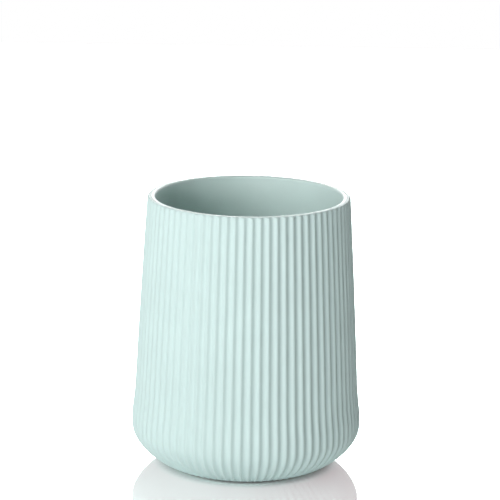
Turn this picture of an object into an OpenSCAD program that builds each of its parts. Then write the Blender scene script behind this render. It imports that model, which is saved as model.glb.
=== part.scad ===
// Ribbed bathroom tumbler for toothbrushes: a fluted outer shell, a smooth cup inside it,
// a snap-in plate that closes the bottom, and four rubber feet.
// The origin is on the shelf, at the centre of the round foot, and +Z points up.

/* [Outside] */
// Overall height, from the shelf to the top of the lip
height = 112; // [90:1:130]
// Width over the ridges just under the rounded rim
mouth_width = 82.8; // [78:0.2:90]
// Width over the ridges where the side begins to flare
flare_width = 91.8; // [88:0.2:93]
// Height where the side begins to flare
flare_height = 33; // [26:1:44]
// Width over the ridges at the widest place
belly_width = 94.4; // [93:0.2:104]
// Height of the widest place
belly_height = 16.3; // [13:0.1:22]
// Width of the plain foot that the ridges run into
foot_width = 64; // [56:0.5:72]
// How far the tall part of the side bows outwards from a straight line
side_bow = 0.2; // [0:0.05:1]

/* [Ribs] */
// Number of ridges around the shell
rib_count = 78; // [48:2:96]
// Depth of the grooves at the widest place
rib_depth = 0.75; // [0.3:0.05:1]
// Height of the plain foot below the ends of the ridges
foot_band = 0.2; // [0.1:0.05:0.6]

/* [Rim] */
// Radius of the shell's rounded outer edge at the rim
rim_round = 1.2; // [0.9:0.1:1.3]
// Radius of the cup's rounded inner edge at the rim
lip_round = 1; // [0.6:0.05:1.05]
// Width of the small chamfers beside the seam in the rim
seam_chamfer = 0.15; // [0.05:0.05:0.2]
// Thickness of the cup's flange, which sinks into the shell's rim
flange_height = 2.2; // [1.5:0.1:4]
// How far the flange stands out from the cup's wall
flange_width = 0.4; // [0.3:0.05:0.5]

/* [Walls] */
// Wall of the shell behind the grooves
shell_wall = 1.2; // [1:0.1:1.4]
// Wall of the cup
cup_wall = 1.3; // [1:0.1:2]
// Thickness of the cup's floor
cup_floor = 2; // [1.5:0.1:4]
// Height of the underside of the cup's floor above the shelf
cup_height = 8; // [7.5:0.5:14]
// How much narrower the cup's radius is at its floor than at its rim
cup_taper = 1.6; // [0.5:0.1:4]
// Radius of the rounded corner inside the cup
cup_corner = 5; // [2:0.5:10]

/* [Base] */
// Gap between the shelf and the shell's foot
foot_gap = 0.5; // [0.3:0.1:1]
// Width of the shell's foot around the plate
foot_rim = 1; // [0.8:0.1:2]
// Thickness of the plate
plate_thick = 2; // [1.6:0.1:2.5]
// How deep the plate lies inside the shell's foot
plate_recess = 0.4; // [0.2:0.1:0.6]
// Width of the ledge in the shell that the plate seats against
ledge_width = 2; // [1:0.1:3]
// Thickness of that ledge
ledge_thick = 1.5; // [1:0.1:2]
// Wall of the plate's upright collar
collar_wall = 1.4; // [1:0.1:2]
// How far the collar's snap bead reaches over the ledge
bead_reach = 0.3; // [0.2:0.05:0.5]
// Height of the snap bead
bead_height = 0.8; // [0.6:0.1:1]
// Thickness of the plate's crossed webs
web_thick = 1.4; // [1:0.1:2.5]
// Height of the cup's skirt, which centres it on the collar
skirt_height = 1.6; // [1:0.1:1.8]

/* [Feet] */
// Number of rubber feet
foot_count = 4; // [3:1:6]
// Width of a foot
pad_width = 10; // [6:0.5:11]
// How deep a foot's pocket is in the plate
pocket_depth = 1; // [0.6:0.1:1.2]
// Radius of the circle on which the feet stand
pad_circle = 23; // [19:0.5:24]
// Width of a foot's peg
peg_width = 4; // [2:0.5:5]
// How far a peg stands out above the plate
peg_rise = 0.8; // [0.2:0.1:2]

/* [Fit] */
// Clearance between pieces that slide into each other
fit_gap = 0.1; // [0.05:0.01:0.15]

/* [Hidden] */
$fn = 180;

// Extra length of a cut beyond the face that it opens
overrun = 1;

// Handles of the flare's and the underside's curves, as shares of the height or width that they cross
flare_lean_share = 0.07;
flare_handle_share = 0.69;
belly_handle_share = 0.455;
drop_handle_share = 0.51;
run_handle_share = 0.24;

// Half the width of a ridge's rounded crown in ribs; the groove's rounded bottom takes the rest
crown_share = 0.2;

// Steps along each stretch of the shell's outline, and across one rib
rim_steps = 2;
side_steps = 2;
flare_steps = 3;
under_steps = 6;
rib_steps = 4;
corner_steps = 10;

mouth_r = mouth_width / 2;
belly_r = belly_width / 2;
foot_r = foot_width / 2;

// Depth of the grooves where the ridges lie at radius r, so that every rib keeps its proportions
function groove_depth(r) = rib_depth * r / belly_r;

// Radii at the rim, from the shell inwards
bore_r = mouth_r - groove_depth(mouth_r) - shell_wall;
cup_r = bore_r - fit_gap;
inside_r = cup_r - cup_wall;
seat_r = bore_r + flange_width;
flange_r = cup_r + flange_width;
seat_z = height - flange_height;

// Radii and heights in the base, from the shell inwards
ledge_z = foot_gap + plate_recess + plate_thick;
plate_seat_r = foot_r - foot_rim;
plate_r = plate_seat_r - fit_gap;
ledge_r = plate_seat_r - ledge_width;
collar_r = ledge_r - fit_gap;
plate_z = foot_gap + plate_recess;
ledge_top = ledge_z + ledge_thick;
bead_z = ledge_top + fit_gap;
bead_r = ledge_r + bead_reach;
skirt_r = collar_r + fit_gap;

// A cubic curve through its first and last control points, and its outward normal on the way down
function along(c, t) =
    pow(1 - t, 3) * c[0] + 3 * pow(1 - t, 2) * t * c[1] + 3 * (1 - t) * t * t * c[2] + pow(t, 3) * c[3];
function heading(c, t) =
    pow(1 - t, 2) * (c[1] - c[0]) + 2 * (1 - t) * t * (c[2] - c[1]) + t * t * (c[3] - c[2]);
function outward(c, t) = let (d = heading(c, t)) [-d[1], d[0]] / norm(d);
function stretch(c, steps) = [for (i = [0 : steps - 1]) [along(c, i / steps), outward(c, i / steps)]];

// The four stretches of the shell's outline over its ridges, in radius and height
rim_centre = [mouth_r - rim_round, height - rim_round];
shoulder = [mouth_r, height - rim_round];
flare_start = [flare_width / 2, flare_height];
belly = [belly_r, belly_height];
ridge_end = [foot_r, foot_gap + foot_band];
bow = [side_bow, 0];
flare_fall = flare_height - belly_height;
under_fall = belly_height - ridge_end[1];
side = [
    shoulder,
    shoulder + (flare_start - shoulder) / 3 + bow,
    shoulder + (flare_start - shoulder) * 2 / 3 + bow,
    flare_start
];
flare = [
    flare_start,
    flare_start + flare_fall * flare_handle_share * [flare_lean_share, -1],
    belly + [0, flare_fall * belly_handle_share],
    belly
];
under = [
    belly,
    belly - [0, under_fall * drop_handle_share],
    ridge_end + [(belly_r - foot_r) * run_handle_share, 0],
    ridge_end
];

// Points and normals down the outline, and the same line moved in behind the grooves
rim_stretch = [
    for (i = [0 : rim_steps - 1])
        let (a = 90 * (1 - i / rim_steps), n = [cos(a), sin(a)])
            [rim_centre + rim_round * n, n]
];
body_stretch = concat(
    stretch(side, side_steps),
    stretch(flare, flare_steps),
    stretch(under, under_steps),
    [[ridge_end, [0, -1]]]
);
outline = concat(rim_stretch, body_stretch);
inner_line = [
    for (s = body_stretch)
        let (p = s[0] - (groove_depth(s[0][0]) + shell_wall) * s[1])
            if (p[1] < seat_z && p[1] > ledge_top) p
];
last_inner = inner_line[len(inner_line) - 1];

// Outer radius of the cup at its underside: narrower than at the rim by its taper, or by more where
// the shell beside it leaves less room
beside_cup = concat(
    [for (p = inner_line) if (p[1] > cup_height) p],
    [[lookup(cup_height, [for (p = inner_line) [p[1], p[0]]]), cup_height]]
);
cup_bottom_r = min(concat(
    [cup_r - cup_taper],
    [for (p = beside_cup) cup_r - (cup_r + fit_gap - p[0]) * (seat_z - cup_height) / (seat_z - p[1])]
));

// The cup's floor and the centre of its corner
floor_z = cup_height + cup_floor;
corner_r = cup_bottom_r - cup_wall - cup_corner;

// A point of the ribbed surface, u ribs from the nearest ridge: two parabolas that meet in one slope
// make the section, which is 0 on the ridge and 1 in the groove
function section(u) =
    u < crown_share ? 2 * u * u / crown_share : 1 - 2 * pow(0.5 - u, 2) / (0.5 - crown_share);
function rib_point(s, step) =
    let (u = abs(step / rib_steps - 0.5), d = groove_depth(s[0][0]) * section(u))
        s[0] - d * [s[1][0], min(s[1][1], 0)];
function turned(p, a) = [p[0] * cos(a), p[0] * sin(a), p[1]];

// The whole ribbed form without its hollow; a groove faces -Y
module ribbed_form() {
    around = rib_count * rib_steps;
    step_angle = 360 / around;
    levels = len(outline);
    rings = [
        for (s = outline)
            for (i = [0 : around - 1])
                turned(rib_point(s, i % rib_steps), i * step_angle - 90)
    ];
    foot_ring = [for (i = [0 : around - 1]) turned([foot_r, foot_gap], i * step_angle - 90)];
    walls = [
        for (k = [0 : levels - 1])
            for (i = [0 : around - 1])
                let (a = k * around + i, b = k * around + (i + 1) % around)
                    each [[a, b, a + around], [b, b + around, a + around]]
    ];
    top = [for (i = [around - 1 : -1 : 0]) i];
    bottom = [for (i = [0 : around - 1]) levels * around + i];
    polyhedron(points = concat(rings, foot_ring), faces = concat([top], walls, [bottom]));
}

module ribbed_shell() {
    color([0.79, 0.91, 0.89])
    difference() {
        ribbed_form();
        rotate_extrude()
            polygon(concat(
                [
                    [0, height + overrun],
                    [seat_r + seam_chamfer + overrun, height + overrun],
                    [seat_r, height - seam_chamfer],
                    [seat_r, seat_z],
                    [bore_r, seat_z]
                ],
                inner_line,
                [
                    [last_inner[0], ledge_top],
                    [ledge_r, ledge_top],
                    [ledge_r, ledge_z],
                    [plate_seat_r, ledge_z],
                    [plate_seat_r, foot_gap - overrun],
                    [0, foot_gap - overrun]
                ]
            ));
    }
}

// Points on an arc in the plane of a profile
function arc(centre, r, from, to, steps) =
    [for (i = [0 : steps]) let (a = from + (to - from) * i / steps) centre + r * [cos(a), sin(a)]];

module inner_cup() {
    wall_lean = atan((cup_r - cup_bottom_r) / (height - cup_height));
    color([0.82, 0.93, 0.91])
    rotate_extrude()
        polygon(concat(
            [[0, cup_height], [skirt_r, cup_height], [skirt_r, cup_height - skirt_height]],
            [[skirt_r + collar_wall, cup_height - skirt_height], [skirt_r + collar_wall, cup_height]],
            [[cup_bottom_r, cup_height], [cup_r, seat_z], [flange_r, seat_z]],
            [[flange_r, height - seam_chamfer], [flange_r - seam_chamfer, height]],
            arc([inside_r + lip_round, height - lip_round], lip_round, 90, 180, corner_steps),
            arc([corner_r, floor_z + cup_corner], cup_corner, -wall_lean, -90, corner_steps),
            [[0, floor_z]]
        ));
}

// Copies what it is given to each foot's place, between the plate's webs
module at_feet() {
    for (i = [0 : foot_count - 1])
        rotate((i + 0.5) * 360 / foot_count)
            translate([pad_circle, 0, 0])
                children();
}

module base_plate() {
    color([0.76, 0.88, 0.86])
    difference() {
        union() {
            rotate_extrude()
                polygon([
                    [0, plate_z],
                    [plate_r, plate_z],
                    [plate_r, ledge_z],
                    [collar_r, ledge_z],
                    [collar_r, bead_z],
                    [bead_r, bead_z + bead_reach],
                    [bead_r, bead_z + bead_height - bead_reach],
                    [collar_r, bead_z + bead_height],
                    [collar_r, cup_height],
                    [collar_r - collar_wall, cup_height],
                    [collar_r - collar_wall, ledge_z],
                    [0, ledge_z]
                ]);
            for (i = [0 : foot_count - 1])
                rotate(i * 360 / foot_count)
                    translate([0, -web_thick / 2, plate_z])
                        cube([collar_r - collar_wall / 2, web_thick, cup_height - plate_z]);
        }
        at_feet() {
            translate([0, 0, plate_z - overrun])
                cylinder(d = pad_width + 2 * fit_gap, h = overrun + pocket_depth);
            translate([0, 0, plate_z])
                cylinder(d = peg_width + 2 * fit_gap, h = plate_thick + overrun);
        }
    }
}

module rubber_feet() {
    color([0.90, 0.92, 0.91])
    at_feet() {
        cylinder(d = pad_width, h = plate_z + pocket_depth);
        translate([0, 0, plate_z])
            cylinder(d = peg_width, h = plate_thick + peg_rise);
    }
}

ribbed_shell();
inner_cup();
base_plate();
rubber_feet();
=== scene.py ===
"""The looks of the ribbed tumbler: its finely ribbed shell, its smooth cup, its base and its rubber feet."""
import math

import bpy
from mathutils import Matrix, Vector


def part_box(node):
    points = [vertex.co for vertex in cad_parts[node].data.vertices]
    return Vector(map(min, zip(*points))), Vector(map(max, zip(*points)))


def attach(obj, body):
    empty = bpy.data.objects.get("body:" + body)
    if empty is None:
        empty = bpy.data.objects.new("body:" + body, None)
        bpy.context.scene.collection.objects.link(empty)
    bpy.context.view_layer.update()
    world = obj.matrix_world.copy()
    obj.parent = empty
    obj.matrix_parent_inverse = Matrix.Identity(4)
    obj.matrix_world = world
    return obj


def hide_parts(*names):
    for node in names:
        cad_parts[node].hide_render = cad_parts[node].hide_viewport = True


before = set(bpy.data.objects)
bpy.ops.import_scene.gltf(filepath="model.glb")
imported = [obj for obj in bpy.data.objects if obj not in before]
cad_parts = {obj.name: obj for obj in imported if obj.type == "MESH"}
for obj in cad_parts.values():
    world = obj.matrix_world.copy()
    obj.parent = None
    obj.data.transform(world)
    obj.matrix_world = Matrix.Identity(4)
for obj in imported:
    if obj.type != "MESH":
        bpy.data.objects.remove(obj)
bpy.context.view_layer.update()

MM = 0.001

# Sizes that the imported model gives
shell_low, shell_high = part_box("ribbed_shell")
cup_low, cup_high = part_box("inner_cup")
plate_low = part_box("base_plate")[0]
HEIGHT = shell_high.z
BELLY_R = shell_high.x
FOOT_GAP = shell_low.z
FLANGE_R = cup_high.x
SKIRT_Z = cup_low.z
PLATE_Z = plate_low.z

# The shell's outline over its ridges
MOUTH_R = 41.4 * MM
FLARE_R = 45.9 * MM
FLARE_HEIGHT = 33 * MM
BELLY_HEIGHT = 16.3 * MM
FOOT_R = 32 * MM
FOOT_BAND = 0.2 * MM
SIDE_BOW = 0.2 * MM
RIM_ROUND = 0.9 * MM

# Handles of the outline's curves, as shares of their stretch's fall or run, and the lean of the flare's first
FLARE_LEAN_SHARE = 0.07
FLARE_HANDLE_SHARE = 0.69
BELLY_HANDLE_SHARE = 0.455
DROP_HANDLE_SHARE = 0.51
RUN_HANDLE_SHARE = 0.24

# Ribs: their number, the depth of their grooves at the belly, and half the width of a ridge's crown in ribs
RIB_COUNT = 78
RIB_DEPTH = 0.75 * MM
CROWN_SHARE = 0.2

# Rim, walls and base
SHELL_WALL = 1.2 * MM
CUP_WALL = 1.3 * MM
CUP_FLOOR = 2 * MM
CUP_HEIGHT = 8 * MM
CUP_TAPER = 1.6 * MM
CUP_CORNER = 5 * MM
FLANGE_HEIGHT = 2.2 * MM
FLANGE_WIDTH = 0.4 * MM
LIP_ROUND = 1 * MM
SEAM_ROUND = 0.15 * MM
FOOT_RIM = 1 * MM
PLATE_THICK = 2 * MM
LEDGE_WIDTH = 2 * MM
LEDGE_THICK = 1.5 * MM
SKIRT_WALL = 1.4 * MM
EDGE_ROUND = 0.15 * MM

# Rubber feet: their size, and the circle on which they stand
PAD_R = 5 * MM
PAD_ROUND = 0.35 * MM
PAD_CIRCLE = 23 * MM
PAD_COUNT = 4
POCKET_DEPTH = 1 * MM

# Fineness of the meshes: steps in a rib, down each stretch of the outline, round each body and in each arc
RIB_STEPS = 16
SIDE_STEPS = 8
FLARE_STEPS = 10
UNDER_STEPS = 24
RIM_STEPS = 8
EDGE_STEPS = 3
SEAM_STEPS = 4
LIP_STEPS = 12
CORNER_STEPS = 16
WALL_STEPS = 12
CUP_TURN_STEPS = 384
PAD_TURN_STEPS = 96
PAD_EDGE_STEPS = 6
SHARP_ANGLE = math.radians(35)
# The shell's bore is smooth, so it has a ring at every fourth level of the outside
BORE_STEP = 4

# Colours
MINT = (0.640, 0.806, 0.785)
# The cup is the shell's mint plastic made paler: painted light that brightens the inside of the cup
MINT_CUP_WITH_PAINTED_LIGHT = (0.73, 0.89, 0.86)
MINT_PLATE = (0.61, 0.775, 0.755)
PALE_RUBBER = (0.74, 0.77, 0.76)
WHITE = (1, 1, 1, 1)

# Moulded plastic: a faint drift in its tone and roughness, and the fine grain of its skin
DRIFT_SCALE = 60
DRIFT_DETAIL = 3
DRIFT_ROUGHNESS = 0.55
DRIFT_RANGE = (0.3, 0.7)
DEEP_SHARE = 0.975
PALE_SHARE = 1.01
ROUGHNESS_DROP = 0.03
ROUGHNESS_RISE = 0.04
GRAIN_SCALE = 2600
GRAIN_DETAIL = 2
GRAIN_ROUGHNESS = 0.5
GRAIN_STRENGTH = 0.35
GRAIN_HEIGHT = 0.012 * MM
PLASTIC_SPECULAR = 0.45
RUBBER_GRAIN_HEIGHT = 0.02 * MM
RUBBER_SHEEN = 0.15

# Floor: its half width, its diffuse colour where it only lights and where it is seen, and its glow, which is
# weaker near the object, full beyond the outer radius, and shaded where the object nearly touches the floor
FLOOR_HALF = 1.1
FLOOR_BOUNCE = 0.86
FLOOR_SEEN = 0.9
GLOW_NEAR = 0.62
GLOW_RADII = (0.2, 0.7)
CONTACT_SHADE = 3 * MM

# Mirror image in the floor: its share, its blur and how much of each colour it keeps. An even glow makes up
# for the rest, except where the object nearly touches the floor, so the plastic's image is nearly neutral
MIRROR_SHARE = 0.86
MIRROR_ROUGHNESS = 0.05
MIRROR_COLOUR = (0.84, 1, 0.97)
CONTACT_REST = 4 * MM

# Studio: how high its pale walls reach, as sines of elevations, what they and the ceiling give, and its lamps
WALL_FADE = (0.12, 0.26)
WALL_LIGHT = 0.1
CEILING_LIGHT = 0.02
LAMP_DISTANCE = 1.2
TOP_LAMP_DISTANCE = 1.0

# The photograph's camera: its frame and focal length in pixels, its place, and its turns in degrees
IMAGE_PX = 500
FOCAL_PX = 2518
SENSOR_MM = 36
CAMERA_DISTANCE = 1000 * MM
CAMERA_HEIGHT = 330.2 * MM
CAMERA_AZIMUTH = 0.46
CAMERA_PITCH = 13.55
CAMERA_YAW = -0.04
CAMERA_ROLL = 0.84


def point_along(c, t):
    """A point of the cubic curve with the control points c."""
    return (1 - t) ** 3 * c[0] + 3 * (1 - t) ** 2 * t * c[1] + 3 * (1 - t) * t * t * c[2] + t ** 3 * c[3]


def outward(c, t):
    """The curve's outward normal on the way down."""
    d = (1 - t) ** 2 * (c[1] - c[0]) + 2 * (1 - t) * t * (c[2] - c[1]) + t * t * (c[3] - c[2])
    return Vector((-d.y, d.x)).normalized()


def stretch(c, steps):
    """Points and normals down the curve, without its last point."""
    return [(point_along(c, i / steps), outward(c, i / steps)) for i in range(steps)]


def arc(centre, radius, start, end, steps):
    """Points on an arc in the plane of a profile, with its angles in degrees."""
    turns = [math.radians(start + (end - start) * i / steps) for i in range(steps + 1)]
    return [Vector((centre[0] + radius * math.cos(a), centre[1] + radius * math.sin(a))) for a in turns]


def groove_depth(radius):
    """A depth that follows the radius, so that the ribs keep their proportions where the body narrows."""
    return RIB_DEPTH * radius / BELLY_R


def section(u):
    """How deep the ribbed surface lies at u, in ribs from a ridge: 0 on the ridge and 1 in the groove."""
    u = abs(u - round(u))
    if u < CROWN_SHARE:
        return 2 * u * u / CROWN_SHARE
    return 1 - 2 * (0.5 - u) ** 2 / (0.5 - CROWN_SHARE)


def shell_outline():
    """Points and outward normals down the shell's outside, over its ridges: first its rim, then its body."""
    shoulder = Vector((MOUTH_R, HEIGHT - RIM_ROUND))
    flare_start = Vector((FLARE_R, FLARE_HEIGHT))
    belly = Vector((BELLY_R, BELLY_HEIGHT))
    ridge_end = Vector((FOOT_R, FOOT_GAP + FOOT_BAND))
    bow = Vector((SIDE_BOW, 0))
    flare_fall = FLARE_HEIGHT - BELLY_HEIGHT
    under_fall = BELLY_HEIGHT - ridge_end.y
    centre = shoulder - Vector((RIM_ROUND, 0))
    rim = [(p, (p - centre).normalized()) for p in arc(centre, RIM_ROUND, 90, 0, RIM_STEPS)[:-1]]
    side = [
        shoulder,
        shoulder.lerp(flare_start, 1 / 3) + bow,
        shoulder.lerp(flare_start, 2 / 3) + bow,
        flare_start,
    ]
    flare = [
        flare_start,
        flare_start + flare_fall * FLARE_HANDLE_SHARE * Vector((FLARE_LEAN_SHARE, -1)),
        belly + Vector((0, flare_fall * BELLY_HANDLE_SHARE)),
        belly,
    ]
    under = [
        belly,
        belly - Vector((0, under_fall * DROP_HANDLE_SHARE)),
        ridge_end + Vector(((BELLY_R - FOOT_R) * RUN_HANDLE_SHARE, 0)),
        ridge_end,
    ]
    body = stretch(side, SIDE_STEPS) + stretch(flare, FLARE_STEPS) + stretch(under, UNDER_STEPS)
    body.append((ridge_end, Vector((0, -1))))
    return rim, body


def ribbed_ring(point, normal, around):
    """One level of the ribbed surface as radii and heights, from the middle of a groove.

    The grooves get shallower towards the mouth and keep their full depth below the belly.
    """
    full = groove_depth(point.x) if point.y > BELLY_HEIGHT else RIB_DEPTH
    ring = []
    for i in range(around):
        depth = full * section(i / RIB_STEPS - 0.5)
        ring.append((point.x - depth * normal.x, point.y - depth * min(normal.y, 0)))
    return ring


def mesh_object(name, vertices, faces):
    mesh = bpy.data.meshes.new(name)
    mesh.from_pydata(vertices, [], faces)
    mesh.update()
    mesh.shade_smooth()
    mesh.set_sharp_from_angle(angle=SHARP_ANGLE)
    obj = bpy.data.objects.new(name, mesh)
    bpy.context.scene.collection.objects.link(obj)
    return obj


def loft(name, rings):
    """A closed surface through rings of (radius, height) around +Z, each of which starts at the front.

    A ring of one point on the axis closes the surface at its end. Otherwise the last ring joins the first.
    """
    around = max(len(ring) for ring in rings)
    vertices, starts = [], []
    for ring in rings:
        starts.append(len(vertices))
        count = len(ring)
        for i, (radius, z) in enumerate(ring):
            a = 2 * math.pi * i / count - math.pi / 2
            vertices.append((radius * math.cos(a), radius * math.sin(a), z))
    faces = []
    pairs = list(zip(range(len(rings) - 1), range(1, len(rings))))
    if len(rings[0]) > 1:
        pairs.append((len(rings) - 1, 0))
    for upper, lower in pairs:
        a, b = starts[upper], starts[lower]
        for i in range(around):
            j = (i + 1) % around
            if len(rings[upper]) == 1:
                faces.append((a, b + i, b + j))
            elif len(rings[lower]) == 1:
                faces.append((a + i, b, a + j))
            else:
                faces.append((a + i, b + i, b + j, a + j))
    return mesh_object(name, vertices, faces)


def turned(name, profile, steps):
    """A body turned round +Z from (radius, height) points that run down its outside."""
    rings = [[(0, p[1])] if p[0] == 0 else [(p[0], p[1])] * steps for p in profile]
    return loft(name, rings)


def ribbed_shell():
    """The shell: ribs outside, a smooth bore, a rebate for the cup's flange and a ledge for the plate."""
    around = RIB_COUNT * RIB_STEPS
    rim, body = shell_outline()
    bore_r = MOUTH_R - groove_depth(MOUTH_R) - SHELL_WALL
    seat_r = bore_r + FLANGE_WIDTH
    seat_z = HEIGHT - FLANGE_HEIGHT
    plate_seat_r = FOOT_R - FOOT_RIM
    ledge_r = plate_seat_r - LEDGE_WIDTH
    ledge_z = PLATE_Z + PLATE_THICK
    ledge_top = ledge_z + LEDGE_THICK
    edge_z = FOOT_GAP + EDGE_ROUND
    bore = [p - (groove_depth(p.x) + SHELL_WALL) * n for p, n in body]
    bore = [p for p in bore if ledge_top < p.y < seat_z][::-BORE_STEP]
    plain = arc((FOOT_R - EDGE_ROUND, edge_z), EDGE_ROUND, 0, -90, EDGE_STEPS)
    plain += arc((plate_seat_r + EDGE_ROUND, edge_z), EDGE_ROUND, -90, -180, EDGE_STEPS)
    plain += [(plate_seat_r, ledge_z), (ledge_r, ledge_z), (ledge_r, ledge_top), (bore[0].x, ledge_top)]
    plain += bore + [(bore_r, seat_z), (seat_r, seat_z)]
    plain += arc((seat_r + SEAM_ROUND, HEIGHT - SEAM_ROUND), SEAM_ROUND, 180, 90, SEAM_STEPS)
    rings = [ribbed_ring(p, n, around) for p, n in rim + body]
    rings += [[(p[0], p[1])] * around for p in plain]
    return loft("ribbed_shell_fine", rings)


def inner_cup():
    """The cup: a smooth inside, a rounded lip, a flange in the shell's rebate and a skirt that centres it."""
    cup_r = FLANGE_R - FLANGE_WIDTH
    inside_r = cup_r - CUP_WALL
    seat_z = HEIGHT - FLANGE_HEIGHT
    bottom_r = cup_r - CUP_TAPER
    floor_z = CUP_HEIGHT + CUP_FLOOR
    lean = math.degrees(math.atan(CUP_TAPER / (HEIGHT - CUP_HEIGHT)))
    corner = (bottom_r - CUP_WALL - CUP_CORNER, floor_z + CUP_CORNER)
    skirt_r = FOOT_R - FOOT_RIM - LEDGE_WIDTH
    skirt_outer_r = skirt_r + SKIRT_WALL
    lip = arc((inside_r + LIP_ROUND, HEIGHT - LIP_ROUND), LIP_ROUND, 180, 90, LIP_STEPS)
    profile = [(0, floor_z)] + arc(corner, CUP_CORNER, -90, -lean, CORNER_STEPS)
    low, high = profile[-1], lip[0]
    profile += [low.lerp(high, i / WALL_STEPS) for i in range(1, WALL_STEPS)]
    profile += lip
    profile += arc((FLANGE_R - SEAM_ROUND, HEIGHT - SEAM_ROUND), SEAM_ROUND, 90, 0, SEAM_STEPS)
    profile += [(FLANGE_R, seat_z), (cup_r, seat_z), (bottom_r, CUP_HEIGHT)]
    profile += [(skirt_outer_r, CUP_HEIGHT), (skirt_outer_r, SKIRT_Z)]
    profile += [(skirt_r, SKIRT_Z), (skirt_r, CUP_HEIGHT), (0, CUP_HEIGHT)]
    return turned("inner_cup_fine", profile, CUP_TURN_STEPS)


def rubber_foot(index):
    """A round pad with softened edges, seated in its pocket."""
    top = PLATE_Z + POCKET_DEPTH
    profile = [(0, top)] + arc((PAD_R - EDGE_ROUND, top - EDGE_ROUND), EDGE_ROUND, 90, 0, EDGE_STEPS)
    profile += arc((PAD_R - PAD_ROUND, PAD_ROUND), PAD_ROUND, 0, -90, PAD_EDGE_STEPS) + [(0, 0)]
    foot = turned("rubber_foot_%d" % (index + 1), profile, PAD_TURN_STEPS)
    a = 2 * math.pi * (index + 0.5) / PAD_COUNT
    foot.location = (PAD_CIRCLE * math.cos(a), PAD_CIRCLE * math.sin(a), 0)
    return foot


def feed(tree, socket, value):
    """Set a socket to a value, or link another node's output to it."""
    if isinstance(value, bpy.types.NodeSocket):
        tree.links.new(value, socket)
    else:
        socket.default_value = value


def node(tree, kind, **inputs):
    """A new node whose inputs are fed by name, with _ for a space."""
    made = tree.nodes.new(kind)
    for name, value in inputs.items():
        feed(tree, made.inputs[name.replace("_", " ")], value)
    return made


def maths(tree, operation, first, second):
    made = tree.nodes.new("ShaderNodeMath")
    made.operation = operation
    feed(tree, made.inputs[0], first)
    feed(tree, made.inputs[1], second)
    return made.outputs[0]


def remap(tree, value, start, end, low, high):
    """A value carried from start..end to low..high, and held at both ends."""
    made = node(tree, "ShaderNodeMapRange", Value=value)
    for name, number in (("From Min", start), ("From Max", end), ("To Min", low), ("To Max", high)):
        feed(tree, made.inputs[name], number)
    return made.outputs["Result"]


def noise(tree, place, scale, detail, roughness):
    made = node(tree, "ShaderNodeTexNoise", Vector=place, Scale=scale, Detail=detail, Roughness=roughness)
    return made.outputs["Fac"]


def openness(tree, distance):
    """1 on open floor, and less where something stands within the distance of it."""
    return node(tree, "ShaderNodeAmbientOcclusion", Distance=distance).outputs["AO"]


def both_shaders(tree, first, second):
    made = tree.nodes.new("ShaderNodeAddShader")
    feed(tree, made.inputs[0], first.outputs[0])
    feed(tree, made.inputs[1], second.outputs[0])
    return made.outputs[0]


def moulded_plastic(name, colour, roughness, grain_height=GRAIN_HEIGHT):
    """Matte moulded plastic: a faint drift in its tone, a fine spark-eroded grain and a soft gloss."""
    material = bpy.data.materials.new(name)
    material.use_nodes = True
    tree = material.node_tree
    shader = tree.nodes["Principled BSDF"]
    place = tree.nodes.new("ShaderNodeTexCoord").outputs["Object"]

    drift = noise(tree, place, DRIFT_SCALE, DRIFT_DETAIL, DRIFT_ROUGHNESS)
    tone = node(tree, "ShaderNodeValToRGB", Fac=drift)
    deep, pale = tone.color_ramp.elements
    deep.position, pale.position = DRIFT_RANGE
    deep.color = [DEEP_SHARE * c for c in colour] + [1]
    pale.color = [min(PALE_SHARE * c, 1) for c in colour] + [1]
    gloss = remap(tree, drift, 0, 1, roughness - ROUGHNESS_DROP, roughness + ROUGHNESS_RISE)
    feed(tree, shader.inputs["Base Color"], tone.outputs["Color"])
    feed(tree, shader.inputs["Roughness"], gloss)

    grain = noise(tree, place, GRAIN_SCALE, GRAIN_DETAIL, GRAIN_ROUGHNESS)
    bump = node(tree, "ShaderNodeBump", Height=grain, Strength=GRAIN_STRENGTH, Distance=grain_height)
    feed(tree, shader.inputs["Normal"], bump.outputs["Normal"])
    shader.inputs["Specular IOR Level"].default_value = PLASTIC_SPECULAR
    return material


def silicone_rubber(name, colour, roughness):
    """Pale rubber with a dull, slightly dusty skin."""
    material = moulded_plastic(name, colour, roughness, RUBBER_GRAIN_HEIGHT)
    material.node_tree.nodes["Principled BSDF"].inputs["Sheen Weight"].default_value = RUBBER_SHEEN
    return material


def cover(obj, material):
    """Make the material the only one of the object."""
    obj.data.materials.clear()
    obj.data.materials.append(material)


def dress(obj, material):
    """Give a piece its material and the body that it moves with."""
    cover(obj, material)
    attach(obj, "root")


def camera():
    """The photograph's viewpoint."""
    data = bpy.data.cameras.new("camera")
    data.sensor_width = SENSOR_MM
    data.lens = FOCAL_PX / IMAGE_PX * SENSOR_MM
    yaw = Matrix.Rotation(math.radians(CAMERA_YAW), 4, "Z")
    tilt = Matrix.Rotation(math.pi / 2 - math.radians(CAMERA_PITCH), 4, "X")
    roll = Matrix.Rotation(math.radians(CAMERA_ROLL), 4, "Z")
    aim = yaw @ tilt @ roll
    place = Matrix.Translation((0, -CAMERA_DISTANCE, CAMERA_HEIGHT))
    obj = bpy.data.objects.new("camera", data)
    obj.matrix_world = Matrix.Rotation(math.radians(CAMERA_AZIMUTH), 4, "Z") @ place @ aim
    bpy.context.scene.collection.objects.link(obj)
    bpy.context.scene.camera = obj


def lamp(name, level, size, azimuth, elevation, distance=LAMP_DISTANCE):
    """A square soft box that faces the object, at azimuth 0 in front of it and at 90 on its right.

    Level 1 renders a white surface that faces the lamp as white.
    """
    data = bpy.data.lights.new(name, "AREA")
    data.energy = level * (math.pi * distance) ** 2
    data.size = size
    obj = bpy.data.objects.new(name, data)
    a, e = math.radians(azimuth), math.radians(elevation)
    back = Vector((math.sin(a) * math.cos(e), -math.cos(a) * math.cos(e), math.sin(e)))
    obj.location = Vector((0, 0, HEIGHT / 2)) + back * distance
    obj.rotation_euler = back.to_track_quat("Z", "Y").to_euler()
    bpy.context.scene.collection.objects.link(obj)


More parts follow.
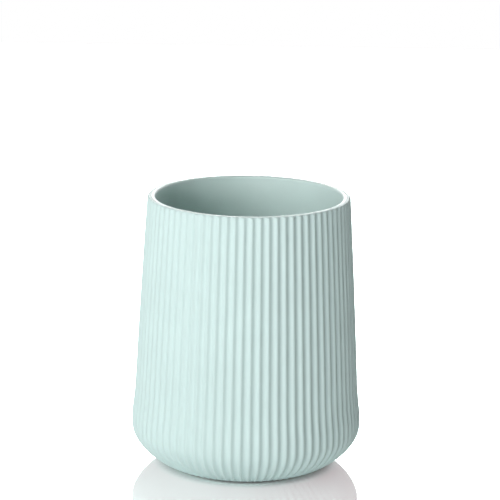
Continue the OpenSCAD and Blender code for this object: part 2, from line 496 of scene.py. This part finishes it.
def seen_directly(tree):
    """1 on camera, glossy and transmission rays, and 0 on the rest."""
    path = tree.nodes.new("ShaderNodeLightPath").outputs
    first = maths(tree, "MAXIMUM", path["Is Camera Ray"], path["Is Glossy Ray"])
    return maths(tree, "MAXIMUM", first, path["Is Transmission Ray"])


def studio_world():
    """White where it is seen. Where it only lights, it has pale low walls all round and a dimmer ceiling."""
    world = bpy.data.worlds.new("studio")
    bpy.context.scene.world = world
    world.use_nodes = True
    tree = world.node_tree
    tree.nodes.clear()
    place = tree.nodes.new("ShaderNodeTexCoord").outputs["Generated"]
    up = node(tree, "ShaderNodeSeparateXYZ", Vector=place).outputs["Z"]
    fill = remap(tree, up, *WALL_FADE, WALL_LIGHT, CEILING_LIGHT)
    strength = remap(tree, seen_directly(tree), 0, 1, fill, 1)
    background = node(tree, "ShaderNodeBackground", Color=WHITE, Strength=strength)
    node(tree, "ShaderNodeOutputWorld", Surface=background.outputs[0])


def studio_floor():
    """A glossy white floor: white where it is seen, with the object's shadow and a pale mirror image."""
    corners = [(FLOOR_HALF * x, FLOOR_HALF * y, 0) for x, y in ((-1, -1), (1, -1), (1, 1), (-1, 1))]
    floor = mesh_object("floor", corners, [(0, 1, 2, 3)])
    material = bpy.data.materials.new("white_floor")
    material.use_nodes = True
    tree = material.node_tree
    tree.nodes.clear()
    seen = seen_directly(tree)

    place = tree.nodes.new("ShaderNodeNewGeometry").outputs["Position"]
    reach = node(tree, "ShaderNodeVectorMath", Vector=place)
    reach.operation = "LENGTH"
    fade = remap(tree, reach.outputs["Value"], *GLOW_RADII, GLOW_NEAR, 1)
    glow = maths(tree, "MULTIPLY", maths(tree, "MULTIPLY", fade, openness(tree, CONTACT_SHADE)), seen)
    white = node(tree, "ShaderNodeEmission", Color=WHITE, Strength=glow)
    body = node(tree, "ShaderNodeBsdfDiffuse", Color=remap(tree, seen, 0, 1, FLOOR_BOUNCE, FLOOR_SEEN))
    matte = both_shaders(tree, body, white)

    image = node(tree, "ShaderNodeBsdfGlossy", Color=(*MIRROR_COLOUR, 1), Roughness=MIRROR_ROUGHNESS)
    open_seen = maths(tree, "MULTIPLY", openness(tree, CONTACT_REST), seen)
    rest = node(tree, "ShaderNodeEmission", Color=(*[1 - c for c in MIRROR_COLOUR], 1), Strength=open_seen)
    mirror = both_shaders(tree, image, rest)

    slant = node(tree, "ShaderNodeLayerWeight").outputs["Facing"]
    share = maths(tree, "MULTIPLY", maths(tree, "MULTIPLY", slant, seen), MIRROR_SHARE)
    mix = node(tree, "ShaderNodeMixShader", Fac=share)
    feed(tree, mix.inputs[1], matte)
    feed(tree, mix.inputs[2], mirror)
    node(tree, "ShaderNodeOutputMaterial", Surface=mix.outputs[0])
    cover(floor, material)


mint = moulded_plastic("mint_plastic", MINT, roughness=0.48)
# The cup's paler mint is painted light on the inside of the cup
mint_cup_with_painted_light = moulded_plastic("mint_cup_plastic_with_painted_light", MINT_CUP_WITH_PAINTED_LIGHT, roughness=0.42)
mint_plate = moulded_plastic("mint_plate_plastic", MINT_PLATE, roughness=0.52)
rubber = silicone_rubber("pale_rubber", PALE_RUBBER, roughness=0.7)

shell = ribbed_shell()
dress(shell, mint)
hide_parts("ribbed_shell")
cup = inner_cup()
dress(cup, mint_cup_with_painted_light)
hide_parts("inner_cup")
feet = [rubber_foot(i) for i in range(PAD_COUNT)]
for foot in feet:
    dress(foot, rubber)
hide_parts("rubber_feet")
cover(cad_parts["base_plate"], mint_plate)

camera()
studio_world()
studio_floor()
lamp("key", level=0.3, size=0.4, azimuth=-36, elevation=22)
lamp("left", level=0.21, size=0.6, azimuth=-70, elevation=25)
lamp("front", level=0.38, size=0.32, azimuth=-7, elevation=4)
lamp("top", level=0.13, size=1.2, azimuth=0, elevation=88, distance=TOP_LAMP_DISTANCE)
lamp("back", level=0.5, size=0.6, azimuth=180, elevation=16)
lamp("rim", level=0.17, size=0.5, azimuth=148, elevation=18)

bpy.context.scene.view_settings.view_transform = "Standard"
